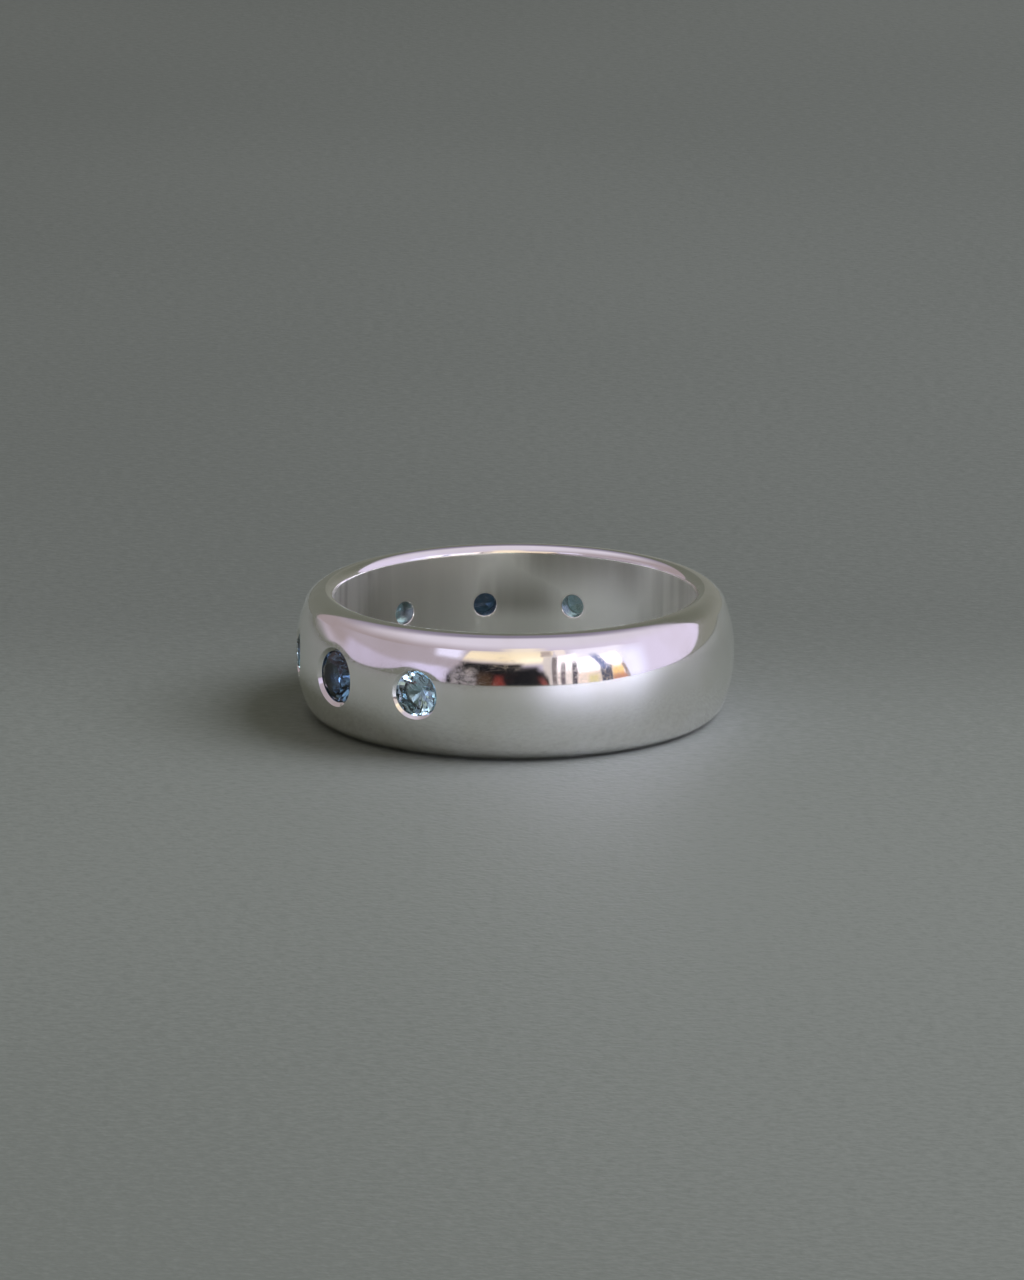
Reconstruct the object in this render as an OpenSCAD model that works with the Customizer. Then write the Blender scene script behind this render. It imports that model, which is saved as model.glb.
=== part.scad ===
// Silver band ring with seven flush set round topazes.
//
// The ring lies on its side. +Z runs along the finger hole, and the origin is on
// the surface that it lies on, under the middle of the hole. Angles go round +Z
// from the front, which is -Y, and are negative towards -X.
// The band is one solid: a domed outside, a straight bore, rounded edges, and a
// seat drilled right through the wall for each stone. Each stone is a round
// brilliant of its own, held below a thin lip with a small gap all round.

/* [Band] */
// Diameter of the finger hole
bore_d = 17.3; // [16:0.1:20]
// Thickness of the band at the middle of its width
band_t = 1.85; // [1.75:0.05:2.2]
// Width of the band along the finger
band_w = 6.05; // [5.6:0.05:6.4]
// Radius of the crown across the band's width
crown_r = 6.5; // [6:0.1:8]
// Radius of the rounding along the inner edges
inner_edge_r = 0.45; // [0.35:0.05:0.55]

/* [Row of stones] */
// Girdle diameter of the pale stones
pale_d = 2.2; // [1.8:0.05:2.4]
// Girdle diameter of the dark stones
dark_d = 2.6; // [2:0.05:2.7]
// Angle of the first stone from the front
first_angle = -27; // [-60:0.5:0]
// Angle from one stone to the next
step_angle = 28.65; // [22:0.05:40]
// Height of the row above the middle of the band's width
row_lift = 0.1; // [-0.2:0.05:0.2]

/* [Cut of the stones] */
// Width of the table as a share of the girdle
table_share = 0.56; // [0.5:0.01:0.65]
// Slope of the crown's main facets
crown_angle = 34; // [30:1:36]
// Slope of the pavilion's main facets
pavilion_angle = 41; // [39:0.5:43]
// Thickness of the girdle as a share of its diameter
girdle_share = 0.03; // [0.02:0.005:0.04]

/* [Seats] */
// Depth of the stones' tables below the crown of the band
table_sink = 0.02; // [0:0.01:0.05]
// Gap between a stone and its seat
seat_gap = 0.03; // [0.02:0.005:0.04]
// Width of the lip that covers the edge of a stone
lip = 0.06; // [0.04:0.01:0.08]
// Slope of the bright cut above the lip, from the stone's axis
bright_cut_angle = 30; // [25:1:40]
// Diameter of the holes that show inside the band
hole_d = 1.1; // [0.9:0.05:1.2]

/* [Hidden] */
$fn = 96;
STONES = 7;
MAIN_FACETS = 8;
turn = 360 / MAIN_FACETS;
half = turn / 2;
clear = 1;
bite = 0.3;
bore_r = bore_d / 2;
outer_r = bore_r + band_t;
half_w = band_w / 2;
row_z = half_w + row_lift;

// The rim's highest line is where the inner edge and the shoulder meet.
rim_r = bore_r + inner_edge_r;
crown_x = outer_r - crown_r;
rim_x = rim_r - crown_x;
// Shoulder arc that touches the crown arc and runs level at the rim's highest line.
shoulder_r = (crown_r^2 - half_w^2 - rim_x^2) / (2 * (crown_r - half_w));
shoulder_z = half_w - shoulder_r;
shoulder_angle = atan2(shoulder_z, rim_x);
inner_z = half_w - inner_edge_r;

// Odd stones are pale and even ones dark, counted from the front.
function is_pale(i) = i % 2 == 1;
function stone_d(i) = is_pale(i) ? pale_d : dark_d;
function stone_name(i) = str(is_pale(i) ? "pale_topaz_" : "dark_topaz_", i);
function stone_angle(i) = first_angle - (i - 1) * step_angle;

// Height of a stone's crown, and how deep its girdle then lies in the band.
function crown_h(d) = d / 2 * (1 - table_share) * tan(crown_angle);
function girdle_depth(d) = table_sink + crown_h(d);

function along(radius, angle) = [radius * cos(angle), radius * sin(angle)];
function on_ring(radius, angle, z) = concat(along(radius, angle), z);

// Rim of a disc between two angles. It reaches in by bite, to overlap the core.
module rounded(radius, from, to) {
    inner = radius - bite;
    outer = radius / cos((to - from) / 2) + clear;
    intersection() {
        circle(radius);
        polygon([along(inner, from), along(outer, from), along(outer, to),
            along(inner, to)]);
    }
}

// Rounded half of the section, from the crown's middle to the bore.
module upper_rounds() {
    translate([rim_r, shoulder_z]) rounded(shoulder_r, shoulder_angle, 90);
    translate([rim_r, inner_z]) rounded(inner_edge_r, 90, 180);
}

// Section of the band, with z measured from the middle of its width.
module band_section() {
    tangent = along(crown_r, shoulder_angle) + [crown_x, 0];
    union() {
        polygon([[bore_r, -inner_z], [rim_r, -half_w], [tangent.x, -tangent.y],
            tangent, [rim_r, half_w], [bore_r, inner_z]]);
        translate([crown_x, 0]) rounded(crown_r, -shoulder_angle, shoulder_angle);
        upper_rounds();
        mirror([0, 1]) upper_rounds();
    }
}

// What is cut away for one stone, about +Z with the girdle's top edge at z = 0.
module seat_cutter(d) {
    seat_r = d / 2 + seat_gap;
    lip_r = d / 2 - lip;
    hole_r = hole_d / 2;
    under = -girdle_share * d - seat_gap;
    hole_top = under - (seat_r - hole_r) * tan(pavilion_angle);
    lip_z = seat_gap + (seat_r - lip_r) * tan(crown_angle);
    mouth = girdle_depth(d) + clear;
    inside = girdle_depth(d) - band_t - clear;
    rotate_extrude()
        polygon([[0, inside], [hole_r, inside], [hole_r, hole_top], [seat_r, under],
            [seat_r, seat_gap], [lip_r, lip_z],
            [lip_r + (mouth - lip_z) * tan(bright_cut_angle), mouth], [0, mouth]]);
}

// Puts a stone or its cutter into the band's wall at the place of stone i.
module at_seat(i) {
    rotate([0, 0, stone_angle(i) - 90])
        translate([outer_r - girdle_depth(stone_d(i)), 0, row_z])
            rotate([0, 90, 0])
                children();
}

// Round brilliant about +Z with the girdle's top edge at z = 0: an octagonal
// table, eight stars, eight kites and sixteen triangles above the girdle, and
// sixteen triangles and eight long kites below it.
module brilliant(d) {
    girdle_r = d / 2;
    table_r = girdle_r * table_share;
    table_z = crown_h(d);
    star_r = (table_r + girdle_r) / 2;
    star_z = table_z - (star_r * cos(half) - table_r) * tan(crown_angle);
    girdle_z = -girdle_share * d;
    culet_z = girdle_z - girdle_r * tan(pavilion_angle);
    long_r = girdle_r / 4;
    long_z = culet_z + long_r * cos(half) * tan(pavilion_angle);
    eighths = [0:MAIN_FACETS - 1];

    points = concat(
        [for (k = eighths) on_ring(table_r, k * turn, table_z)],
        [for (k = eighths) on_ring(star_r, k * turn + half, star_z)],
        [for (k = eighths) on_ring(girdle_r, k * turn, 0)],
        [for (k = eighths) on_ring(girdle_r, k * turn + half, 0)],
        [for (k = eighths) on_ring(girdle_r, k * turn, girdle_z)],
        [for (k = eighths) on_ring(girdle_r, k * turn + half, girdle_z)],
        [for (k = eighths) on_ring(long_r, k * turn + half, long_z)],
        [[0, 0, culet_z]]);
    culet = 7 * MAIN_FACETS;

    // Point k of a ring of eight, counted round past its end.
    function at(ring, k) = ring * MAIN_FACETS + (k + MAIN_FACETS) % MAIN_FACETS;
    table = 0;
    star = 1;
    edge = 2;
    edge_mid = 3;
    low = 4;
    low_mid = 5;
    long = 6;

    polyhedron(points, concat(
        [[for (k = eighths) at(table, -k)]],
        [for (k = eighths) [at(table, k), at(table, k + 1), at(star, k)]],
        [for (k = eighths) [at(table, k), at(star, k), at(edge, k)]],
        [for (k = eighths) [at(table, k), at(edge, k), at(star, k - 1)]],
        [for (k = eighths) [at(star, k), at(edge_mid, k), at(edge, k)]],
        [for (k = eighths) [at(star, k), at(edge, k + 1), at(edge_mid, k)]],
        [for (k = eighths) [at(edge, k), at(edge_mid, k), at(low_mid, k), at(low, k)]],
        [for (k = eighths)
            [at(edge_mid, k), at(edge, k + 1), at(low, k + 1), at(low_mid, k)]],
        [for (k = eighths) [at(low, k), at(low_mid, k), at(long, k)]],
        [for (k = eighths) [at(low_mid, k), at(low, k + 1), at(long, k)]],
        [for (k = eighths) [at(low, k), at(long, k), culet]],
        [for (k = eighths) [at(low, k), culet, at(long, k - 1)]]));
}

module band() {
    color("silver")
        difference() {
            translate([0, 0, half_w]) rotate_extrude() band_section();
            for (i = [1:STONES]) at_seat(i) seat_cutter(stone_d(i));
        }
}

module topaz(i) {
    color(is_pale(i) ? "cadetblue" : "midnightblue")
        at_seat(i) brilliant(stone_d(i));
}

band();
for (i = [1:STONES]) topaz(i);
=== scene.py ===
"""Looks of a silver band ring with seven flush set round topazes.

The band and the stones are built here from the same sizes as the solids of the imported
frame, with a finer mesh: softened mouths of the seats, a round and scalloped girdle on
each stone, and normals taken from the true curves. Lengths are in millimetres while a
mesh is worked out, and become metres as it is written to Blender.
"""

import logging
import math
from dataclasses import dataclass, field
from enum import Enum
from typing import NamedTuple

import bmesh
import bpy
import numpy as np
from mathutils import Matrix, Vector

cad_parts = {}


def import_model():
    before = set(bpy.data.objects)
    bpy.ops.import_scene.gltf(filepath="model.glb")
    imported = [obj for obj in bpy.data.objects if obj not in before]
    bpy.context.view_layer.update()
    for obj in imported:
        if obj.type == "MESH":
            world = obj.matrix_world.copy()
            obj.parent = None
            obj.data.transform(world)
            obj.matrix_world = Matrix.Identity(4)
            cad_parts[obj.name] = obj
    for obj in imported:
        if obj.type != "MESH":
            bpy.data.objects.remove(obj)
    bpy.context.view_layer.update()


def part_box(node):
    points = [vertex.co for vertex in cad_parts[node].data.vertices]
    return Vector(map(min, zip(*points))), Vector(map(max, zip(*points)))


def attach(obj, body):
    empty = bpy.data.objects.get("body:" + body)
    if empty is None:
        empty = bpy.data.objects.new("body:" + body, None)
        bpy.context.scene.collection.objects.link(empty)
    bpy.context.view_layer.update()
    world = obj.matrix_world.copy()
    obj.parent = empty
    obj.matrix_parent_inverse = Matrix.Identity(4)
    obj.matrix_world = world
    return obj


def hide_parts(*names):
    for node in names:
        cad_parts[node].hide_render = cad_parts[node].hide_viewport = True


LOG = logging.getLogger("ring")
MM = 0.001
ROOT = "root"

Array = np.ndarray
Socket = bpy.types.NodeSocket
Colour = tuple[float, float, float]


def rgba(colour: Colour) -> tuple[float, float, float, float]:
    """Adds full opacity to a linear colour."""
    return (*colour, 1.0)


def new_object(name: str, data: bpy.types.ID) -> bpy.types.Object:
    """Puts a mesh, a light or a camera into the scene.

    Args:
        name: Name of the object.
        data: The mesh, light or camera.

    Returns:
        The object.
    """
    made = bpy.data.objects.new(name, data)
    bpy.context.scene.collection.objects.link(made)
    return made


class NodeGraph:
    """A node tree with short calls to add nodes and wire them."""

    def __init__(self, tree: bpy.types.NodeTree) -> None:
        """Takes the tree over and empties it."""
        self.tree = tree
        tree.nodes.clear()

    def add(
        self,
        kind: str,
        inputs: dict[str | int, object] | None = None,
        **settings: object,
    ) -> bpy.types.Node:
        """Adds one node.

        Args:
            kind: Blender's name of the node's type.
            inputs: Value or incoming socket for each input, by name or place.
            settings: Properties of the node itself.

        Returns:
            The new node.
        """
        node = self.tree.nodes.new(kind)
        for name, value in settings.items():
            setattr(node, name, value)
        for key, value in (inputs or {}).items():
            if isinstance(value, bpy.types.NodeSocket):
                self.tree.links.new(value, node.inputs[key])
            else:
                node.inputs[key].default_value = value
        return node

    def math(self, operation: str, *values: float | Socket, clamp: bool = False) -> Socket:
        """Adds one sum.

        Args:
            operation: Blender's name of the sum.
            values: Numbers or sockets that go into it.
            clamp: True to keep the result from 0 to 1.

        Returns:
            The result.
        """
        node = self.add("ShaderNodeMath", dict(enumerate(values)), operation=operation)
        node.use_clamp = clamp
        return node.outputs[0]

    def times(self, *values: float | Socket) -> Socket:
        """Multiplies two or more values.

        Args:
            values: Numbers or sockets, the first of them a socket.

        Returns:
            The product.
        """
        product = values[0]
        for value in values[1:]:
            product = self.math("MULTIPLY", product, value)
        return product

    def rest(self, value: Socket) -> Socket:
        """Takes a share away from 1."""
        return self.math("SUBTRACT", 1.0, value)

    def step(self, value: Socket, low: float | Socket, high: float | Socket) -> Socket:
        """Rises smoothly from 0 to 1.

        Args:
            value: What is looked at.
            low: Value up to which the result is 0.
            high: Value from which the result is 1.

        Returns:
            The share between them.
        """
        node = self.add(
            "ShaderNodeMapRange",
            {"Value": value, "From Min": low, "From Max": high},
            interpolation_type="SMOOTHSTEP",
        )
        return node.outputs["Result"]

    def window(self, value: Socket, low: float, high: float, soft: float) -> Socket:
        """Is 1 inside a window and falls smoothly to 0 outside it.

        Args:
            value: What is looked at.
            low: Lower edge of the window.
            high: Upper edge of the window.
            soft: Half width of its soft edges.

        Returns:
            The share inside the window.
        """
        rise = self.step(value, low - soft, low + soft)
        fall = self.step(value, high - soft, high + soft)
        return self.times(rise, self.rest(fall))

    def scaled(self, vector: Socket, scale: tuple[float, float, float] | Socket) -> Socket:
        """Multiplies coordinates or a colour by one factor an axis, or by one socket."""
        node = self.add("ShaderNodeVectorMath", {0: vector, 1: scale}, operation="MULTIPLY")
        return node.outputs[0]

    def noise(self, vector: Socket, scale: float, detail: float = 2.0,
              roughness: float = 0.5) -> Socket:
        """Adds soft noise.

        Args:
            vector: Coordinates.
            scale: How often the noise changes in each unit of them.
            detail: Number of finer layers.
            roughness: Strength of the finer layers.

        Returns:
            The noise, about 0.5 in the middle.
        """
        node = self.add(
            "ShaderNodeTexNoise",
            {"Vector": vector, "Scale": scale, "Detail": detail, "Roughness": roughness},
        )
        return node.outputs["Fac"]

    def span(self, value: Socket, low: float, high: float) -> Socket:
        """Spreads a share from 0 to 1 over a range.

        Args:
            value: The share.
            low: Result at 0.
            high: Result at 1.

        Returns:
            The value between them.
        """
        node = self.add(
            "ShaderNodeMapRange", {"Value": value, "To Min": low, "To Max": high}, clamp=True
        )
        return node.outputs["Result"]

    def mix(self, share: float | Socket, first: Colour | Socket,
            second: Colour | Socket) -> Socket:
        """Blends two colours.

        Args:
            share: How much of the second colour there is.
            first: The first colour.
            second: The second colour.

        Returns:
            The blend.
        """
        node = self.add("ShaderNodeMix", data_type="RGBA")
        for place, value in ((0, share), (6, first), (7, second)):
            if isinstance(value, bpy.types.NodeSocket):
                self.tree.links.new(value, node.inputs[place])
            else:
                node.inputs[place].default_value = rgba(value) if place else value
        return node.outputs[2]

    def bump(self, height: Socket, depth: float) -> Socket:
        """Turns a height of 1 into relief of that depth, in metres."""
        return self.add("ShaderNodeBump", {"Height": height, "Distance": depth}).outputs["Normal"]


class Stroke(Enum):
    """Directions in which a surface was rubbed, as stretches of its coordinates."""

    ROUND = (260.0, 260.0, 9000.0)
    DOWN_THE_WALL = (950.0, 950.0, 130.0)
    COLUMNS = (900.0, 900.0, 110.0)
    SLANT = (900.0, 6400.0, 2600.0)
    CROSS = (6000.0, 1100.0, 3100.0)


@dataclass(frozen=True)
class Finish:
    """A finish mixed from noise in the object's own coordinates."""

    name: str

    def surface(self, graph: NodeGraph, place: Socket) -> dict[str, object]:
        """Mixes what the surface shader takes in, by the names of its inputs."""
        raise NotImplementedError

    def material(self) -> bpy.types.Material:
        """Builds the material.

        Returns:
            The material, named as the finish.
        """
        made = bpy.data.materials.new(self.name)
        made.use_nodes = True
        graph = NodeGraph(made.node_tree)
        place = graph.add("ShaderNodeTexCoord").outputs["Object"]
        shader = graph.add("ShaderNodeBsdfPrincipled", self.surface(graph, place))
        graph.add("ShaderNodeOutputMaterial", {"Surface": shader.outputs[0]})
        return made


class Zone(Enum):
    """Part of the height of the finger hole's wall."""

    WHOLE = "whole"
    LOWER = "lower"
    UPPER = "upper"


class PaintedShade(NamedTuple):
    """A stretch of painted shade on the far wall, by its ends and soft edges in metres from the
    wall's middle.
    """

    left: float
    right: float
    soft: float
    share: float = 1.0
    zone: Zone = Zone.WHOLE


@dataclass(frozen=True)
class PolishedSilver(Finish):
    """Bright hand polished silver, with hairlines, a little haze and duller hollows.

    The finger hole is satin. Its far wall has painted shade in places: grey patches that darken its
    reflections and run out in upright streaks at both ends. Places of the wall and the shade are in
    metres.
    """

    name: str = "polished_silver"
    bright: Colour = (0.950, 0.930, 0.915)
    warm: Colour = (0.900, 0.872, 0.835)
    satin: Colour = (0.975, 0.975, 0.925)
    # Grey of the painted shade that darkens the far wall of the finger hole.
    film: Colour = (0.400, 0.395, 0.350)
    dull: Colour = (0.46, 0.42, 0.37)
    gloss: float = 0.015
    worn_gloss: float = 0.045
    polishing_gloss: float = 0.015
    scratch_gloss: float = 0.05
    haze_gloss: float = 0.14
    satin_gloss: float = 0.26
    hollow_gloss: float = 0.22
    cloud_scale: float = 420.0
    grain_scale: float = 42000.0
    ripple_scale: float = 300.0
    ripple_mm: float = 0.008
    polishing_mm: float = 0.00006
    waves_mm: float = 0.0080
    hairline_mm: float = 0.0003
    wall_edge: tuple[float, float] = (0.008652, 0.008668)
    # Where the painted shade lies: how its edges wander, its heights, its ends and the far half of
    # the wall.
    film_wander: float = 0.0020
    film_upper: tuple[float, float] = (0.0031, 0.0057)
    film_foot: tuple[float, float] = (0.0022, 0.0033)
    film_ends: tuple[float, float] = (0.0058, 0.0074)
    film_back: tuple[float, float] = (-0.002, 0.002)
    painted_shades: tuple[PaintedShade, ...] = (
        PaintedShade(-0.0100, -0.0058, 0.0011, 0.7),
        PaintedShade(-0.0066, -0.0018, 0.0013, 0.48),
        PaintedShade(-0.0017, 0.0017, 0.0009, zone=Zone.LOWER),
        PaintedShade(0.0004, 0.0062, 0.0010, zone=Zone.UPPER),
        PaintedShade(0.0066, 0.0100, 0.0009, 0.42),
    )

    def hairlines(self, graph: NodeGraph, place: Socket, stroke: Stroke, width: float) -> Socket:
        """Draws thin lines where a stretched noise crosses its middle.

        Args:
            graph: The material's nodes.
            place: Coordinates in metres.
            stroke: Direction of the lines.
            width: Half width of a line, as a share of the noise's height.

        Returns:
            1 on a line and 0 between the lines.
        """
        stretched = graph.noise(graph.scaled(place, stroke.value), 1.0, 3.0, 0.55)
        off = graph.math("ABSOLUTE", graph.math("SUBTRACT", stretched, 0.5))
        return graph.rest(graph.step(off, 0.0, width))

    def bore(self, graph: NodeGraph, place: Socket) -> Socket:
        """Finds the wall of the finger hole.

        Args:
            graph: The material's nodes.
            place: Coordinates in metres.

        Returns:
            1 on the wall and 0 from its rounded edges on.
        """
        level = graph.scaled(place, (1.0, 1.0, 0.0))
        reach = graph.add("ShaderNodeVectorMath", {0: level}, operation="LENGTH")
        return graph.rest(graph.step(reach.outputs["Value"], *self.wall_edge))

    def painted_shade_share(self, graph: NodeGraph, place: Socket) -> Socket:
        """Spreads painted shade over parts of the far wall of the finger hole, making its
        reflections darker there.

        Args:
            graph: The material's nodes.
            place: Coordinates in metres.

        Returns:
            The painted shade's share of the colour.
        """
        across, back, up = graph.add("ShaderNodeSeparateXYZ", {0: place}).outputs
        column = graph.noise(graph.scaled(place, Stroke.COLUMNS.value), 1.0, 2.0, 0.55)
        centred = graph.math("SUBTRACT", across, self.film_wander / 2)
        moved = graph.math("MULTIPLY_ADD", column, self.film_wander, centred)
        high = graph.step(up, *self.film_upper)
        foot = graph.span(graph.step(up, *self.film_foot), 0.35, 1.0)
        ends = graph.step(graph.math("ABSOLUTE", across), *self.film_ends)
        zones = {Zone.WHOLE: 1.0, Zone.LOWER: graph.times(foot, graph.rest(high)), Zone.UPPER: high}
        share = 0.0
        for film in self.painted_shades:
            stretch = graph.window(moved, film.left, film.right, film.soft)
            part = graph.times(stretch, film.share, zones[film.zone])
            share = graph.math("MAXIMUM", share, part)
        gaps = graph.times(ends, graph.rest(graph.step(column, 0.34, 0.62)), 0.65)
        streaks = graph.times(graph.rest(gaps), graph.span(column, 0.7, 1.1))
        return graph.times(share, streaks, graph.step(back, *self.film_back))

    def surface(self, graph: NodeGraph, place: Socket) -> dict[str, object]:
        """Mixes the silver, polished outside and satin in the finger hole.

        Args:
            graph: The material's nodes.
            place: Coordinates in metres.

        Returns:
            A value or a socket for each input of the shader.
        """
        inside = self.bore(graph, place)
        outside = graph.rest(inside)
        hollow = graph.add("ShaderNodeAttribute", attribute_name="hollow").outputs["Fac"]

        cloud = graph.noise(place, self.cloud_scale, 2.0, 0.55)
        grain = graph.step(graph.noise(place, self.grain_scale, 0.0, 0.5), 0.66, 0.74)
        rubbed = graph.noise(graph.scaled(place, Stroke.ROUND.value), 1.0, 2.0, 0.6)
        polishing = graph.times(rubbed, outside)
        waves = graph.noise(graph.scaled(place, Stroke.DOWN_THE_WALL.value), 1.0, 1.0, 0.5)
        slant = self.hairlines(graph, place, Stroke.SLANT, 0.006)
        cross = self.hairlines(graph, place, Stroke.CROSS, 0.005)
        patchy = graph.math("ADD", graph.step(cloud, 0.42, 0.62), 0.25)
        scratches = graph.times(graph.math("MAXIMUM", slant, cross), outside, patchy)

        gloss = graph.span(cloud, self.gloss, self.worn_gloss)
        for cause, share in (
            (polishing, self.polishing_gloss),
            (scratches, self.scratch_gloss),
            (graph.times(grain, outside), self.haze_gloss),
            (inside, self.satin_gloss),
            (hollow, self.hollow_gloss),
        ):
            gloss = graph.math("MULTIPLY_ADD", cause, share, gloss, clamp=True)

        colour = graph.mix(graph.step(cloud, 0.35, 0.75), self.bright, self.warm)
        # Painted shade: the satin wall turns grey in patches on its far half.
        wall = graph.mix(self.painted_shade_share(graph, place), self.satin, self.film)
        colour = graph.mix(inside, colour, wall)
        colour = graph.mix(graph.times(hollow, 0.8), colour, self.dull)

        height = graph.times(graph.noise(place, self.ripple_scale, 1.0, 0.4), self.ripple_mm)
        for cause, depth in (
            (polishing, self.polishing_mm),
            (graph.times(inside, waves), self.waves_mm),
            (scratches, -self.hairline_mm),
        ):
            height = graph.math("MULTIPLY_ADD", cause, depth, height)
        return {
            "Base Color": colour,
            "Metallic": 1.0,
            "Roughness": gloss,
            "Normal": graph.bump(height, MM),
        }


@dataclass(frozen=True)
class CutTopaz(Finish):
    """Clear tinted topaz with polished facets."""

    tint: Colour
    deep: Colour
    index: float = 1.62
    zone_scale: float = 900.0
    worn_gloss: float = 0.03
    polishing_mm: float = 0.00004

    def surface(self, graph: NodeGraph, place: Socket) -> dict[str, object]:
        """Mixes the gem glass, with faint colour zones and polishing lines.

        Args:
            graph: The material's nodes.
            place: Coordinates in metres.

        Returns:
            A value or a socket for each input of the shader.
        """
        zones = graph.step(graph.noise(place, self.zone_scale, 2.0, 0.5), 0.35, 0.65)
        colour = graph.mix(zones, self.tint, self.deep)
        rubbed = graph.noise(graph.scaled(place, Stroke.SLANT.value), 3.0, 2.0, 0.5)
        return {
            "Base Color": colour,
            "Roughness": graph.span(rubbed, 0.0, self.worn_gloss),
            "IOR": self.index,
            "Transmission Weight": 1.0,
            "Normal": graph.bump(rubbed, self.polishing_mm * MM),
        }


@dataclass(frozen=True)
class Paper(Finish):
    """Pale grey green drawing paper, with soft fibres and a fine tooth.

    A painted fall-off of light makes it darker from the ring's front to just behind the ring.
    """

    name: str = "pale_paper"
    light: Colour = (0.205, 0.221, 0.206)
    shade: Colour = (0.171, 0.186, 0.172)
    painted_far_share: float = 0.77
    fade: tuple[float, float] = (-0.006, 0.022)
    gloss: float = 0.60
    sheen: float = 0.3
    broad_scale: float = 14.0
    fibre_scale: float = 1700.0
    tooth_scale: float = 4200.0
    tooth_mm: float = 0.04

    def surface(self, graph: NodeGraph, place: Socket) -> dict[str, object]:
        """Mixes the paper from three sizes of noise.

        Args:
            graph: The material's nodes.
            place: Coordinates in metres.

        Returns:
            A value or a socket for each input of the shader.
        """
        broad = graph.noise(place, self.broad_scale, 1.0, 0.5)
        fibre = graph.noise(graph.scaled(place, (1.0, 1.7, 1.0)), self.fibre_scale, 2.0, 0.62)
        tooth = graph.noise(place, self.tooth_scale, 0.0, 0.5)
        blend = graph.math("ADD", graph.times(broad, 0.45), graph.times(fibre, 0.55))
        colour = graph.mix(graph.step(blend, 0.36, 0.64), self.shade, self.light)
        # Painted shade: the colour dims from in front of the ring to just behind it.
        depth = graph.add("ShaderNodeSeparateXYZ", {0: place}).outputs[1]
        fade = graph.span(graph.step(depth, *self.fade), 1.0, self.painted_far_share)
        height = graph.math("ADD", graph.times(fibre, 0.7), graph.times(tooth, 0.3))
        return {
            "Base Color": graph.scaled(colour, fade),
            "Roughness": self.gloss,
            "Specular IOR Level": self.sheen,
            "Normal": graph.bump(height, self.tooth_mm * MM),
        }


class Hue(Enum):
    """The two colours of topaz in the row."""

    PALE = "pale"
    DARK = "dark"

    @property
    def slot(self) -> str:
        """Name of the record's material slot."""
        return f"{self.value}_topaz"

    @property
    def finish(self) -> CutTopaz:
        """Finish of the stones of this colour.

        Returns:
            The gem glass in its two tints.
        """
        if self is Hue.PALE:
            return CutTopaz(self.slot, (0.50, 0.66, 0.73), (0.36, 0.56, 0.66))
        return CutTopaz(self.slot, (0.085, 0.155, 0.250), (0.050, 0.100, 0.170))


@dataclass(frozen=True)
class Setting:
    """One stone's place in the band and the seat that holds it, in millimetres.

    Heights are measured along the stone's axis from the girdle's top edge.
    """

    number: int
    angle: float
    hue: Hue
    girdle_d: float
    outer_r: float
    spin: float
    table_share: float = 0.56
    crown_angle: float = 34.0
    pavilion_angle: float = 41.0
    girdle_share: float = 0.03
    table_sink: float = 0.02
    seat_gap: float = 0.03
    lip: float = 0.06
    bright_cut_angle: float = 30.0
    hole_r: float = 0.55

    @property
    def name(self) -> str:
        """Name of the stone, the same as its solid's."""
        return f"{self.hue.slot}_{self.number}"

    @property
    def crown_h(self) -> float:
        """Height of the table above the girdle."""
        rise = math.tan(math.radians(self.crown_angle))
        return self.girdle_d / 2 * (1 - self.table_share) * rise

    @property
    def girdle_r(self) -> float:
        """Distance of the girdle's top edge from the axis of the ring."""
        return self.outer_r - self.table_sink - self.crown_h

    @property
    def seat_r(self) -> float:
        """Radius of the seat's wall."""
        return self.girdle_d / 2 + self.seat_gap

    @property
    def lip_r(self) -> float:
        """Radius of the opening in the lip."""
        return self.girdle_d / 2 - self.lip

    @property
    def lip_z(self) -> float:
        """Height of the lip's edge."""
        rise = math.tan(math.radians(self.crown_angle))
        return self.seat_gap + (self.seat_r - self.lip_r) * rise

    @property
    def under_z(self) -> float:
        """Height of the seat's lower corner."""
        return -self.girdle_share * self.girdle_d - self.seat_gap

    @property
    def hole_top_z(self) -> float:
        """Height at which the seat's cone turns into the hole."""
        fall = math.tan(math.radians(self.pavilion_angle))
        return self.under_z - (self.seat_r - self.hole_r) * fall

    @property
    def spread(self) -> float:
        """Growth of the bright cut's radius for each millimetre of height."""
        return math.tan(math.radians(self.bright_cut_angle))

    def axes(self) -> tuple[Array, Array, Array]:
        """Finds the three directions at the stone.

        Returns:
            The ring's tangent, the direction of the finger hole and the way outwards.
        """
        turn = math.radians(self.angle)
        tangent = np.array([math.cos(turn), math.sin(turn), 0.0])
        outward = np.array([math.sin(turn), -math.cos(turn), 0.0])
        return tangent, np.array([0.0, 0.0, 1.0]), outward


class Section(NamedTuple):
    """Closed outline of the band's section, and where the windows for the seats start."""

    radius: Array
    height: Array
    normal: Array
    outer_row: int
    inner_row: int


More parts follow.
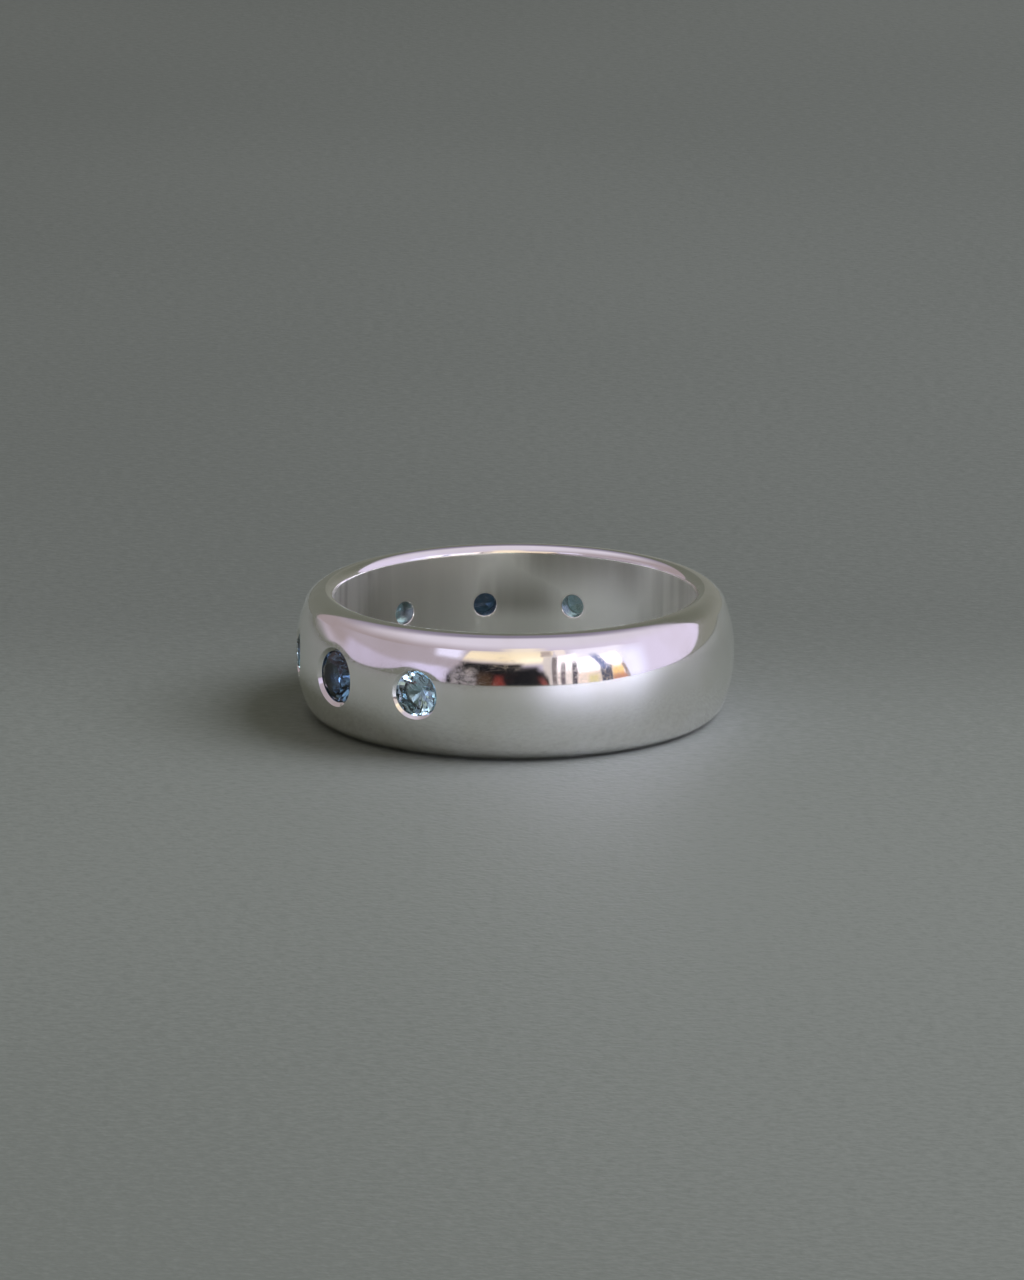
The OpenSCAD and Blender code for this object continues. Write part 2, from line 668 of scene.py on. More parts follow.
@dataclass
class Sleeve:
    """Rings of points that line one seat, from the outside of the band to its bore.

    The counts of rings follow the metal inwards: up to the bright cut, down the cut, the
    seat's cone, the hole, its softened edge and over the bore. Lengths in millimetres.
    """

    band: "Band"
    setting: Setting
    outer_rings: int = 8
    cut_rings: int = 17
    cone_rings: int = 5
    hole_rings: int = 5
    bend_rings: int = 4
    inner_rings: int = 8
    outer_growth: float = 1.25
    inner_growth: float = 1.15
    mouth_zone: float = 0.07
    mouth_soft: float = 0.012
    mouth_slope: float = 42.0
    lip_share: float = 0.998
    lip_drop: float = 0.002
    burnish_depth: float = 0.0035
    burnish_reach: float = 0.42
    burnish_lap: float = 0.05
    hole_soft: float = 0.05
    points: list[Array] = field(default_factory=list)
    normals: list[Array] = field(default_factory=list)
    hollows: list[float] = field(default_factory=list)
    sharp: list[int] = field(default_factory=list)

    def put(self, across: Array, up: Array, height: Array, normal: Array | None = None,
            hollow: float = 0.0) -> None:
        """Adds one ring of points.

        Args:
            across: Distances from the stone's axis along the band.
            up: Distances from the stone's axis across the band.
            height: Distances from the ring's axis along the stone's axis.
            normal: Direction that each point faces, or None to leave it to Blender.
            hollow: How far the ring lies in a hollow that polishing can't reach.
        """
        tangent, along, outward = self.setting.axes()
        self.points.append(
            self.band.row_z * along
            + across[:, None] * tangent
            + up[:, None] * along
            + height[:, None] * outward
        )
        self.normals.append(np.zeros((len(across), 3)) if normal is None else normal)
        self.hollows.append(hollow)

    def level(self, radius: float, turn: Array, height: float, hollow: float) -> None:
        """Adds a round and level ring of points, by its angles about the stone's axis."""
        level = np.full(len(turn), height)
        self.put(radius * np.cos(turn), radius * np.sin(turn), level, None, hollow)

    def crease(self) -> None:
        """Makes the last ring a sharp edge."""
        self.sharp.append(len(self.points) - 1)

    @property
    def edge_r(self) -> float:
        """Radius of the bright cut's outer edge.

        Returns:
            The radius about the stone's axis.
        """
        setting = self.setting
        wider = (self.band.outer_r - setting.girdle_r - setting.lip_z) * setting.spread
        return setting.lip_r + wider

    def mouth(self, across: Array, up: Array) -> Array:
        """Height of the outside once the bright cut is made and its edge softened.

        The cut is even all round: it starts at the same edge as the solid's and slopes
        down to the lip, which is left thicker than the solid's.

        Args:
            across: Distances from the stone's axis along the band.
            up: Distances from the stone's axis across the band.

        Returns:
            The height of the metal at each place.
        """
        reach = np.hypot(across, up)
        base = self.band.outside(across, up)
        edge_r = self.edge_r
        past = np.clip((reach - edge_r + self.burnish_lap) / self.burnish_reach, 0.0, 1.0)
        base = base - self.burnish_depth * (1 - past**2) ** 2
        cut = base - (edge_r - reach) * math.tan(math.radians(self.mouth_slope))
        near = np.clip(self.mouth_soft - np.abs(base - cut), 0.0, None)
        return np.minimum(base, cut) - near**2 / (4 * self.mouth_soft)

    def mouth_normal(self, across: Array, up: Array) -> Array:
        """Direction that the metal faces round a stone.

        Args:
            across: Distances from the stone's axis along the band.
            up: Distances from the stone's axis across the band.

        Returns:
            Unit normals in the ring's own frame.
        """
        small = 1e-4
        slope_a = self.mouth(across + small, up) - self.mouth(across - small, up)
        slope_u = self.mouth(across, up + small) - self.mouth(across, up - small)
        tangent, along, outward = self.setting.axes()
        normal = (
            outward
            - (slope_a / (2 * small))[:, None] * tangent
            - (slope_u / (2 * small))[:, None] * along
        )
        return normal / np.linalg.norm(normal, axis=1, keepdims=True)

    def line_mouth(self, outer: Array) -> None:
        """Adds the rings from the window outside to the opening in the lip.

        Args:
            outer: Corners of the window outside, across and up from the stone's axis.
        """
        turn = np.arctan2(outer[:, 1], outer[:, 0])
        window_r = np.hypot(outer[:, 0], outer[:, 1])
        zone_r = self.edge_r + self.mouth_zone
        shares = (1 - np.linspace(0, 1, self.outer_rings + 1)[1:]) ** self.outer_growth
        reaches = [zone_r + (window_r - zone_r) * share for share in shares]
        reaches += list(np.linspace(zone_r, self.setting.lip_r, self.cut_rings + 1)[1:])
        for radius in reaches:
            across, up = radius * np.cos(turn), radius * np.sin(turn)
            top = self.mouth(across, up)
            self.put(across, up, top, self.mouth_normal(across, up))
        self.crease()
        lip = self.lip_share
        self.put(lip * across, lip * up, top - self.lip_drop, hollow=0.1)

    def line_seat(self, turn: Array, gap: Array) -> None:
        """Adds the rings from the lip, past the stone's girdle, to the top of the hole.

        Args:
            turn: Angle of each corner of the window outside.
            gap: How much further each corner of the window inside is turned.
        """
        setting = self.setting
        base = setting.girdle_r
        for radius, height, hollow in (
            (setting.lip_r, setting.lip_z, 0.5),
            (setting.seat_r, setting.seat_gap, 1.0),
            (setting.seat_r, setting.under_z, 1.0),
        ):
            self.level(radius, turn, base + height, hollow)
            self.crease()
        for share in np.linspace(0, 1, self.cone_rings + 1)[1:]:
            radius = setting.seat_r + (setting.hole_r - setting.seat_r) * share
            height = setting.under_z + (setting.hole_top_z - setting.under_z) * share
            self.level(radius, turn + float(share) * gap, base + height, 1.0)
        self.crease()

    def line_hole(self, inner: Array) -> None:
        """Adds the rings down the hole, round its softened edge and over the bore.

        Args:
            inner: Corners of the window inside, across and up from the stone's axis.
        """
        turn = np.arctan2(inner[:, 1], inner[:, 0])
        cosine, sine = np.cos(turn), np.sin(turn)
        band, hole_r, soft = self.band, self.setting.hole_r, self.hole_soft
        end = band.bore(hole_r * cosine) + soft
        start = self.setting.girdle_r + self.setting.hole_top_z
        for share in np.linspace(0, 1, self.hole_rings + 1)[1:]:
            height = start + (end - start) * share
            self.put(hole_r * cosine, hole_r * sine, height, hollow=1.0 - 0.5 * float(share))
        for bend in np.linspace(0, math.pi / 2, self.bend_rings + 1)[1:]:
            radius = hole_r + soft * (1 - math.cos(bend))
            height = band.bore(radius * cosine) + soft * (1 - math.sin(bend))
            self.put(radius * cosine, radius * sine, height, hollow=0.25)
        tangent, _, outward = self.setting.axes()
        window_r = np.hypot(inner[:, 0], inner[:, 1])
        for share in np.linspace(0, 1, self.inner_rings + 1)[1:-1] ** self.inner_growth:
            radius = hole_r + soft + (window_r - hole_r - soft) * share
            across = radius * cosine
            height = band.bore(across)
            normal = -(across[:, None] * tangent + height[:, None] * outward) / band.bore_r
            self.put(across, radius * sine, height, normal)

    def line(self, outer: Array, inner: Array) -> None:
        """Lines the seat, from the window outside, past the stone, to the one inside.

        Args:
            outer: Corners of the window outside, across and up from the stone's axis.
            inner: Corners of the window inside, in the same order.
        """
        turn_out = np.arctan2(outer[:, 1], outer[:, 0])
        turn_in = np.arctan2(inner[:, 1], inner[:, 0])
        gap = (turn_in - turn_out + math.pi) % (2 * math.pi) - math.pi
        self.line_mouth(outer)
        self.line_seat(turn_out, gap)
        self.line_hole(inner)


@dataclass
class Skin:
    """The band's mesh while it is worked out: a closed grid, with sleeves through it."""

    columns: int
    rows: int
    points: list[Array] = field(default_factory=list)
    facing: list[Array] = field(default_factory=list)
    hollow: list[Array] = field(default_factory=list)
    faces: list[tuple[int, ...]] = field(default_factory=list)
    sharp: set[frozenset[int]] = field(default_factory=set)
    cut: set[tuple[int, int]] = field(default_factory=set)

    def at(self, column: int, row: int) -> int:
        """Number of a corner of the grid, counted round past its ends."""
        return column % self.columns * self.rows + row % self.rows

    def add(self, points: Array, facing: Array, hollow: float) -> list[int]:
        """Adds points to the mesh.

        Args:
            points: Points in millimetres.
            facing: Normal of each point, or zero to leave it to Blender.
            hollow: How far they lie in a hollow that polishing can't reach.

        Returns:
            The numbers of the new points.
        """
        first = sum(len(part) for part in self.points)
        self.points.append(points)
        self.facing.append(facing)
        self.hollow.append(np.full(len(points), hollow))
        return list(range(first, first + len(points)))

    def line(self, outer: list[int], sleeve: Sleeve, inner: list[int]) -> None:
        """Joins the rings of a sleeve to one another and to the two windows.

        Args:
            outer: Corners of the window outside.
            sleeve: The rings between the windows.
            inner: Corners of the window inside, in the same order.
        """
        loops = [outer]
        for ring, facing, hollow in zip(sleeve.points, sleeve.normals, sleeve.hollows):
            loops.append(self.add(ring, facing, hollow))
        loops.append(inner)
        count = len(outer)
        for upper, lower in zip(loops, loops[1:]):
            for k in range(count):
                after = (k + 1) % count
                self.faces.append((upper[k], upper[after], lower[after], lower[k]))
        for number in sleeve.sharp:
            loop = loops[number + 1]
            for k in range(count):
                self.sharp.add(frozenset((loop[k], loop[(k + 1) % count])))

    def fill(self) -> None:
        """Covers the grid with faces, apart from the windows."""
        for a in range(self.columns):
            for b in range(self.rows):
                if (a, b) not in self.cut:
                    self.faces.append(
                        (self.at(a, b), self.at(a + 1, b), self.at(a + 1, b + 1), self.at(a, b + 1))
                    )

    def mesh(self, name: str) -> bpy.types.Mesh:
        """Writes the mesh to Blender, without the points that the windows left over.

        Args:
            name: Name of the mesh.

        Returns:
            The mesh in metres, with its sharp edges, normals and hollows.
        """
        points = np.concatenate(self.points)
        kept = np.zeros(len(points), bool)
        kept[np.unique(np.concatenate([np.array(face) for face in self.faces]))] = True
        number = np.cumsum(kept) - 1
        made = bpy.data.meshes.new(name)
        made.from_pydata(
            (points[kept] * MM).tolist(),
            [],
            [[int(number[k]) for k in face] for face in self.faces],
        )
        made.shade_smooth()
        sharp = {frozenset(int(number[k]) for k in edge) for edge in self.sharp}
        for edge in made.edges:
            if frozenset(edge.vertices) in sharp:
                edge.use_edge_sharp = True
        layer = made.attributes.new("hollow", "FLOAT", "POINT")
        hollow = np.concatenate(self.hollow)[kept]
        layer.data.foreach_set("value", hollow.astype(np.float32))
        facing = np.concatenate(self.facing)[kept]
        made.normals_split_custom_set_from_vertices(facing.tolist())
        return made


@dataclass
class Band:
    """The silver band, from its finger hole to its domed outside."""

    bore_r: float = 8.65
    thickness: float = 1.85
    width: float = 6.05
    crown_r: float = 6.5
    inner_edge_r: float = 0.45
    pale_d: float = 2.2
    dark_d: float = 2.6
    stones: int = 7
    first_angle: float = -27.0
    step_angle: float = 28.65
    row_lift: float = 0.1
    spins: tuple[float, ...] = (7.9, 12.0, 31.0, 5.5, 40.2, 22.8, 35.1)
    cell: float = 0.15
    inner_cell: float = 0.1235
    cells_per_step: int = 35
    plain_cells: int = 206
    window_cells: int = 24
    crown_rows_below: int = 5
    crown_rows_above: int = 4
    shoulder_rows: int = 14
    edge_rows: int = 12
    wall_rows_above: int = 8
    wall_rows_below: int = 10
    finish: PolishedSilver = field(default_factory=PolishedSilver)

    @property
    def outer_r(self) -> float:
        """Radius at the middle of the crown."""
        return self.bore_r + self.thickness

    @property
    def half_width(self) -> float:
        """Half of the band's width."""
        return self.width / 2

    @property
    def row_z(self) -> float:
        """Height of the row of stones above the paper."""
        return self.row_lift + self.half_width

    @property
    def crown_x(self) -> float:
        """Distance of the crown arc's middle from the axis of the ring."""
        return self.outer_r - self.crown_r

    @property
    def rim_r(self) -> float:
        """Radius of the rim's highest line."""
        return self.bore_r + self.inner_edge_r

    @property
    def shoulder_r(self) -> float:
        """Radius of the arc between the crown and the rim.

        Returns:
            The radius that touches the crown's arc and runs level at the rim.
        """
        across = self.rim_r - self.crown_x
        spare = self.crown_r**2 - self.half_width**2 - across**2
        return spare / (2 * (self.crown_r - self.half_width))

    def settings(self) -> list[Setting]:
        """Lists the stones from the front, odd ones pale and even ones dark.

        Returns:
            One setting for each stone.
        """
        found = []
        for number in range(1, self.stones + 1):
            pale = number % 2 == 1
            found.append(
                Setting(
                    number=number,
                    angle=self.first_angle - (number - 1) * self.step_angle,
                    hue=Hue.PALE if pale else Hue.DARK,
                    girdle_d=self.pale_d if pale else self.dark_d,
                    outer_r=self.outer_r,
                    spin=self.spins[number - 1],
                )
            )
        return found

    def arc(self, centre_z: float, radius: float, angles: Array, centre_r: float | None = None
            ) -> tuple[Array, Array, Array]:
        """Walks along one rounded part of the section.

        Args:
            centre_z: Height of the arc's middle above the middle of the width.
            radius: Radius of the arc.
            angles: Directions from the arc's middle, 0 away from the ring's axis.
            centre_r: Distance of the arc's middle from the ring's axis, or None for the
                rim's highest line.

        Returns:
            Radii, heights and normals of the points.
        """
        middle = self.rim_r if centre_r is None else centre_r
        facing = np.stack([np.cos(angles), np.sin(angles)], -1)
        return middle + radius * facing[:, 0], centre_z + radius * facing[:, 1], facing

    def section(self) -> Section:
        """Walks once round the band's section, up the outside and down the inside.

        Returns:
            Points with their normals, with rows that fit the windows of the seats.
        """
        shoulder_z = self.half_width - self.shoulder_r
        shoulder = math.atan2(shoulder_z, self.rim_r - self.crown_x)
        inner_z = self.half_width - self.inner_edge_r
        reach = self.window_cells / 2 * self.cell
        low, high = self.row_lift - reach, self.row_lift + reach
        window = np.arcsin(np.linspace(low, high, self.window_cells + 1) / self.crown_r)
        crown = np.concatenate([
            np.linspace(-shoulder, window[0], self.crown_rows_below + 1)[:-1],
            window,
            np.linspace(window[-1], shoulder, self.crown_rows_above + 1)[1:],
        ])
        inner_reach = self.window_cells / 2 * self.inner_cell
        top, bottom = self.row_lift + inner_reach, self.row_lift - inner_reach
        wall = np.concatenate([
            np.linspace(inner_z, top, self.wall_rows_above + 1)[1:-1],
            np.linspace(top, bottom, self.window_cells + 1),
            np.linspace(bottom, -inner_z, self.wall_rows_below + 1)[1:],
        ])
        right = math.pi / 2
        rounds, bends = self.shoulder_rows + 1, self.edge_rows + 1
        outside = [
            self.arc(0.0, self.crown_r, crown, self.crown_x),
            self.arc(shoulder_z, self.shoulder_r, np.linspace(shoulder, right, rounds)[1:]),
            self.arc(inner_z, self.inner_edge_r, np.linspace(right, 2 * right, bends)[1:]),
        ]
        inside = [
            (np.full(len(wall), self.bore_r), wall, np.tile([-1.0, 0.0], (len(wall), 1))),
            self.arc(-inner_z, self.inner_edge_r, np.linspace(2 * right, 3 * right, bends)[1:]),
            self.arc(-shoulder_z, self.shoulder_r,
                     np.linspace(3 * right, 4 * right - shoulder, rounds)[1:-1]),
        ]
        parts = outside + inside
        return Section(
            np.concatenate([part[0] for part in parts]),
            np.concatenate([part[1] for part in parts]),
            np.concatenate([part[2] for part in parts]),
            self.crown_rows_below,
            sum(len(part[0]) for part in outside) + self.wall_rows_above - 1,
        )

    def columns(self) -> Array:
        """Angles of the mesh's columns, the stones' middles among them, in radians.

        Returns:
            Rising angles from the far end of the row of stones.
        """
        cell = self.step_angle / self.cells_per_step
        count = (self.stones - 1) * self.cells_per_step + self.window_cells
        last = self.first_angle - (self.stones - 1) * self.step_angle
        start = last - self.window_cells / 2 * cell
        row = start + cell * np.arange(count + 1)
        rest = np.linspace(row[-1], start + 360.0, self.plain_cells + 1)[1:-1]
        return np.radians(np.concatenate([row, rest]))

    def outside(self, across: Array, up: Array) -> Array:
        """Distance of the domed outside from the ring's axis, along a stone's axis.

        Args:
            across: Distances from the stone's axis along the band.
            up: Distances from the stone's axis across the band.

        Returns:
            The height of the untouched outside at each place.
        """
        level = up + self.row_lift
        radius = self.crown_x + np.sqrt(self.crown_r**2 - level**2)
        return np.sqrt(radius**2 - across**2)

    def bore(self, across: Array) -> Array:
        """Distance of the bore from the ring's axis, along a stone's axis."""
        return np.sqrt(self.bore_r**2 - across**2)

    def window_path(self, column: int, row: int, rows_down: bool) -> list[tuple[int, int]]:
        """Walks round a square window, anticlockwise as seen from outside the ring.

        Args:
            column: First column of the window.
            row: First row of the window.
            rows_down: True where the rows run down the band, as on the inside.

        Returns:
            Column and row of each corner on the way.
        """
        size = self.window_cells
        steps = [(k, 0) for k in range(size)]
        steps += [(size, k) for k in range(size)]
        steps += [(size - k, size) for k in range(size)]
        steps += [(0, size - k) for k in range(size)]
        if rows_down:
            return [(column + a, row + size - b) for a, b in steps]
        return [(column + a, row + b) for a, b in steps]

    def flat(self, path: list[tuple[int, int]], section: Section, turns: Array) -> Array:
        """Places the corners of a window about the axis of its stone.

        Args:
            path: Column and row of each corner, from the window's first column.
            section: Outline of the band's section.
            turns: Angles of the columns.

        Returns:
            Distances across and up from the stone's axis.
        """
        middle = turns[path[0][0] + self.window_cells // 2]
        return np.array([
            (section.radius[row] * math.sin(turns[column] - middle),
             section.height[row] - self.row_lift)
            for column, row in path
        ])

    def grid(self, section: Section, turns: Array) -> Skin:
        """Turns the section round the ring's axis into a closed grid of points.

        Args:
            section: Outline of the band's section.
            turns: Angles of the columns.

        Returns:
            The grid, still without faces.
        """
        skin = Skin(len(turns), len(section.radius))
        out = np.stack([np.sin(turns), -np.cos(turns), np.zeros(len(turns))], -1)
        points = section.radius[None, :, None] * out[:, None, :]
        points[:, :, 2] = section.height[None, :] + self.half_width
        facing = section.normal[None, :, 0, None] * out[:, None, :]
        facing[:, :, 2] = section.normal[None, :, 1]
        skin.add(points.reshape(-1, 3), facing.reshape(-1, 3), 0.0)
        return skin

    def build(self) -> bpy.types.Object:
        """Makes the band as one closed skin with seven seats right through it.

        Returns:
            The band, with its finish.
        """
        section, turns = self.section(), self.columns()
        skin = self.grid(section, turns)
        size = self.window_cells
        for setting in self.settings():
            first = (self.stones - setting.number) * self.cells_per_step
            outer = self.window_path(first, section.outer_row, False)
            inner = self.window_path(first, section.inner_row, True)
            for row in (section.outer_row, section.inner_row):
                skin.cut.update((first + a, row + b) for a in range(size) for b in range(size))
            sleeve = Sleeve(self, setting)
            sleeve.line(self.flat(outer, section, turns), self.flat(inner, section, turns))
            skin.line(
                [skin.at(*corner) for corner in outer],
                sleeve,
                [skin.at(*corner) for corner in inner],
            )
        skin.fill()
        mesh = skin.mesh("band_silver")
        mesh.materials.append(self.finish.material())
        band = new_object("band_silver", mesh)
        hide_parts("band")
        self.finish.name
        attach(band, ROOT)
        return band


@dataclass
class Topaz:
    """One round brilliant, cut with planes from a round rod."""

    setting: Setting
    material: bpy.types.Material
    girdle_sides: int = 96
    mains: int = 8
    rod_top: float = 1.0
    rod_bottom: float = -1.5

    def ring(self, radius: float, height: float, turned: bool = False) -> Array:
        """Places one ring of facet corners about the stone's own axis.

        Args:
            radius: Distance from the axis.
            height: Height above the girdle's top edge.
            turned: True where the corners lie between the main facets.

        Returns:
            The corners.
        """
        turn = 2 * math.pi / self.mains * (np.arange(self.mains) + 0.5 * turned)
        level = np.full(self.mains, height)
        return np.stack([radius * np.cos(turn), radius * np.sin(turn), level], -1)

    def corners(self) -> dict[str, Array]:
        """Rings of facet corners about the stone's own axis, for a girdle radius of 1.

        Returns:
            The corners of each ring by name.
        """
        setting = self.setting
        rise = math.tan(math.radians(setting.crown_angle))
        fall = math.tan(math.radians(setting.pavilion_angle))
        half = math.pi / self.mains
        table_z = (1 - setting.table_share) * rise
        star_r = (setting.table_share + 1) / 2
        star_z = table_z - (star_r * math.cos(half) - setting.table_share) * rise
        low_z = -2 * setting.girdle_share
        culet_z = low_z - fall
        long_r = 0.25
        return {
            "table": self.ring(setting.table_share, table_z),
            "star": self.ring(star_r, star_z, True),
            "edge": self.ring(1.0, 0.0),
            "edge_mid": self.ring(1.0, 0.0, True),
            "low": self.ring(1.0, low_z),
            "low_mid": self.ring(1.0, low_z, True),
            "long": self.ring(long_r, culet_z + long_r * math.cos(half) * fall, True),
            "culet": self.ring(0.0, culet_z),
        }

    def planes(self) -> list[tuple[Vector, Vector]]:
        """Plane of each facet: table, stars, kites and the triangles at the girdle.

        Returns:
            A point and the outward direction of each plane.
        """
        at = self.corners()
        triples = [(at["table"][0], at["table"][1], at["table"][2])]
        for k in range(self.mains):
            after = (k + 1) % self.mains
            triples += [
                (at["table"][k], at["table"][after], at["star"][k]),
                (at["table"][k], at["star"][k - 1], at["star"][k]),
                (at["star"][k], at["edge"][k], at["edge_mid"][k]),
                (at["star"][k], at["edge_mid"][k], at["edge"][after]),
                (at["culet"][k], at["long"][k - 1], at["long"][k]),
                (at["long"][k], at["low"][k], at["low_mid"][k]),
                (at["long"][k], at["low_mid"][k], at["low"][after]),
            ]
        middle = Vector((0.0, 0.0, -0.2))
        found = []
        for triple in triples:
            first, second, third = (Vector(point) for point in triple)
            outward = (second - first).cross(third - first).normalized()
            if outward.dot(first - middle) < 0:
                outward.negate()
            found.append((first, outward))
        return found

    def rod(self, work: bmesh.types.BMesh) -> None:
        """Adds the round rod that the stone is cut from.

        Args:
            work: The stone's mesh.
        """
        turns = 2 * math.pi * np.arange(self.girdle_sides) / self.girdle_sides
        top = [work.verts.new((math.cos(t), math.sin(t), self.rod_top)) for t in turns]
        bottom = [work.verts.new((math.cos(t), math.sin(t), self.rod_bottom)) for t in turns]
        work.faces.new(top)
        work.faces.new(bottom[::-1])
        for k in range(self.girdle_sides):
            after = (k + 1) % self.girdle_sides
            work.faces.new((bottom[k], bottom[after], top[after], top[k]))

    def cut(self, work: bmesh.types.BMesh, point: Vector, outward: Vector) -> None:
        """Grinds one facet and closes the stone over it.

        Args:
            work: The stone's mesh.
            point: A point of the facet's plane.
            outward: Direction that the facet faces.
        """
        made = bmesh.ops.bisect_plane(
            work,
            geom=[*work.verts, *work.edges, *work.faces],
            dist=1e-6,
            plane_co=point,
            plane_no=outward,
            clear_outer=True,
        )
        rim = [e for e in made["geom_cut"] if isinstance(e, bmesh.types.BMEdge) and e.is_boundary]
        if rim:
            bmesh.ops.contextual_create(work, geom=rim)

    def place(self, work: bmesh.types.BMesh) -> None:
        """Turns the stone about its axis and sets it in its seat, in metres.

        Args:
            work: The stone's mesh, about its own axis and with a girdle radius of 1.
        """
        setting = self.setting
        spin = math.radians(setting.spin)
        tangent, along, outward = setting.axes()
        low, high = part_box(setting.name)
        middle_z = (low.z + high.z) / 2 / MM
        radius = setting.girdle_d / 2
        for vertex in work.verts:
            x, y, z = (radius * value for value in vertex.co)
            across = x * math.cos(spin) - y * math.sin(spin)
            up = x * math.sin(spin) + y * math.cos(spin)
            place = across * tangent + up * along + (setting.girdle_r + z) * outward
            place[2] += middle_z
            vertex.co = Vector(place * MM)

    def build(self) -> bpy.types.Object:
        """Cuts the stone and sets it in its seat.

        Returns:
            The stone, with its finish.
        """
        setting = self.setting
        work = bmesh.new()
        self.rod(work)
        for point, outward in self.planes():
            self.cut(work, point, outward)
        bmesh.ops.remove_doubles(work, verts=work.verts, dist=1e-4)
        bmesh.ops.recalc_face_normals(work, faces=work.faces)
        self.place(work)
        mesh = bpy.data.meshes.new(setting.name + "_cut")
        work.to_mesh(mesh)
        work.free()
        mesh.shade_flat()
        mesh.materials.append(self.material)
        stone = new_object(setting.name + "_cut", mesh)
        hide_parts(setting.name)
        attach(stone, ROOT)
        return stone


@dataclass(frozen=True)
class Patch:
    """A soft edged patch of the room, by its directions in degrees from the ring.

    Its share is how far it covers what is behind it. With a lean its edges slant to
    the left, by that many degrees for each degree up. Noise breaks up a mottled one.
    """

    azimuth: tuple[float, float]
    elevation: tuple[float, float]
    soft: tuple[float, float]
    colour: Colour
    share: float = 1.0
    lean: float = 0.0
    mottled: bool = False

    def over(self, graph: NodeGraph, behind: Socket, azimuth: Socket,
             elevation: Socket, mottle: Socket) -> Socket:
        """Lays the patch over what is behind it.

        Args:
            graph: The world's nodes.
            behind: Colour of the room so far.
            azimuth: Direction round the ring in degrees, 0 at the camera.
            elevation: Direction above the paper in degrees.
            mottle: Noise from 0 to 1 that breaks up the mottled patches.

        Returns:
            The colour with the patch in it.
        """
        if self.lean:
            azimuth = graph.math("MULTIPLY_ADD", elevation, self.lean, azimuth)
        wide = graph.window(azimuth, *self.azimuth, self.soft[0])
        tall = graph.window(elevation, *self.elevation, self.soft[1])
        cover = graph.times(wide, tall)
        if self.mottled:
            cover = graph.times(cover, mottle)
        if self.share < 1:
            cover = graph.times(cover, self.share)
        return graph.mix(cover, behind, self.colour)


